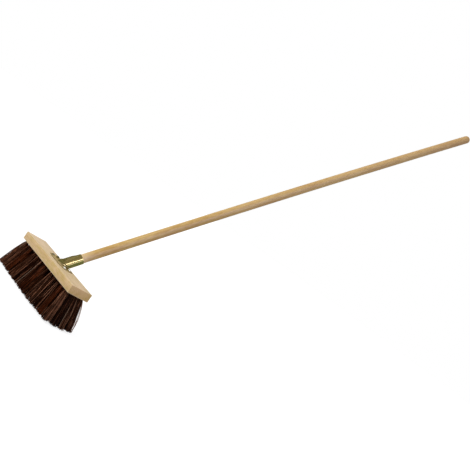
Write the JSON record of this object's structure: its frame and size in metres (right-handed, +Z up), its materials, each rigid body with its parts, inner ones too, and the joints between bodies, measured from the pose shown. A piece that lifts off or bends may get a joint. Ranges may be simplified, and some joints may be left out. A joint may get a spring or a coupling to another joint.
{
  "type": "street broom",
  "caption": "Street broom: a flat wooden block with rows of stiff brown bristle tufts, a pressed steel socket screwed on top and a long slanting wooden handle.",
  "frame": {"origin": "trimmed tip of the middle strand of the third row's middle tuft, on the floor, 9 mm behind the block's middle line", "axes": "+Z up, X along the block's length, and the handle leans back towards +Y"},
  "size_m": [0.4235, 1.1927, 1.3038],
  "materials": {
    "block_wood": "planed beech, unfinished",
    "handle_wood": "sanded softwood with brown grain streaks",
    "holder_zinc": "yellow passivated zinc",
    "screw_zinc": "bright zinc",
    "bristle": "dark red-brown stiff bristle"
  },
  "bodies": {
    "root": {"block": "block_wood", "handle": "handle_wood", "handle_holder": "holder_zinc", "holder_screw_1": "screw_zinc", "holder_screw_2": "screw_zinc", "holder_screw_3": "screw_zinc", "holder_screw_4": "screw_zinc", "handle_screw": "screw_zinc", "tuft_1_01": "bristle", "tuft_1_02": "bristle", "tuft_1_03": "bristle", "tuft_1_04": "bristle", "tuft_1_05": "bristle", "tuft_1_06": "bristle", "tuft_1_07": "bristle", "tuft_1_08": "bristle", "tuft_1_09": "bristle", "tuft_1_10": "bristle", "tuft_1_11": "bristle", "tuft_1_12": "bristle", "tuft_1_13": "bristle", "tuft_2_01": "bristle", "tuft_2_02": "bristle", "tuft_2_03": "bristle", "tuft_2_04": "bristle", "tuft_2_05": "bristle", "tuft_2_06": "bristle", "tuft_2_07": "bristle", "tuft_2_08": "bristle", "tuft_2_09": "bristle", "tuft_2_10": "bristle", "tuft_2_11": "bristle", "tuft_2_12": "bristle", "tuft_2_13": "bristle", "tuft_3_01": "bristle", "tuft_3_02": "bristle", "tuft_3_03": "bristle", "tuft_3_04": "bristle", "tuft_3_05": "bristle", "tuft_3_06": "bristle", "tuft_3_07": "bristle", "tuft_3_08": "bristle", "tuft_3_09": "bristle", "tuft_3_10": "bristle", "tuft_3_11": "bristle", "tuft_3_12": "bristle", "tuft_3_13": "bristle", "tuft_4_01": "bristle", "tuft_4_02": "bristle", "tuft_4_03": "bristle", "tuft_4_04": "bristle", "tuft_4_05": "bristle", "tuft_4_06": "bristle", "tuft_4_07": "bristle", "tuft_4_08": "bristle", "tuft_4_09": "bristle", "tuft_4_10": "bristle", "tuft_4_11": "bristle", "tuft_4_12": "bristle", "tuft_4_13": "bristle"}
  },
  "joints": []
}
